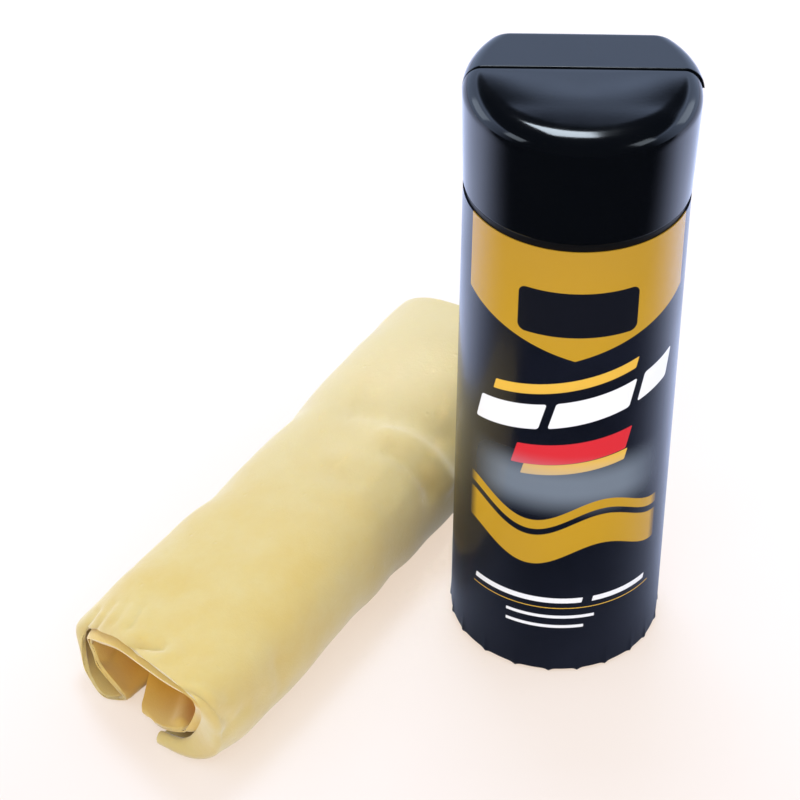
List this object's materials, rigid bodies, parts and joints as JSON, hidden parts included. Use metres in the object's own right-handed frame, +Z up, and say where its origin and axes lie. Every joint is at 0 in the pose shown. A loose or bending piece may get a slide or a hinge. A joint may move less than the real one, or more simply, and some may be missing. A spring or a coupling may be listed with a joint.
{
  "type": "chamois cloth with storage tube",
  "caption": "Pale yellow chamois cloth, folded and loosely rolled, beside its upright storage tube with a printed sleeve, a threaded screw cap and a flip lid.",
  "frame": {"origin": "centre of the tube's base, on the surface that the set stands on", "axes": "+Z up along the tube; +X to the right and -Y towards the viewer of the picture; the cloth lies on the -X side of the tube"},
  "size_m": [0.2222, 0.2192, 0.2442],
  "materials": {
    "tube_plastic": "satin black moulded plastic",
    "printed_film": "glossy printed shrink film, near-black with yellow",
    "seal_rubber": "matte",
    "cap_plastic": "glossy black moulded plastic",
    "chamois": "soft matte, fine-grained synthetic chamois"
  },
  "bodies": {
    "tube": {"tube_body": "tube_plastic", "label_sleeve": "printed_film"},
    "seal": {"seal_ring": "seal_rubber"},
    "cap": {"screw_cap": "cap_plastic"},
    "lid": {"flip_lid": "cap_plastic"},
    "cloth": {"chamois_cloth": "chamois"}
  },
  "joints": [
    {"name": "cap_turn", "type": "hinge", "parent": "seal", "child": "cap", "pos_m": [0, 0, 0.2221], "axis": [0, 0, 1], "range_deg": [0, 810]},
    {"name": "cap_lift", "type": "slide", "parent": "tube", "child": "seal", "axis": [0, 0, 1], "range_m": [0, 0.0181]},
    {"name": "lid_flip", "type": "hinge", "parent": "cap", "child": "lid", "pos_m": [0, 0.0281, 0.2362], "axis": [-1, 0, 0], "range_deg": [0, 115]},
    {"name": "cloth_lift", "type": "slide", "parent": "tube", "child": "cloth", "axis": [-0.6, 0, 0.8], "range_m": [0, 0.25]}
  ],
  "couplings": [
    {"joint": "cap_lift", "follows": "cap_turn", "m_per_rad": 0.0012732}
  ]
}
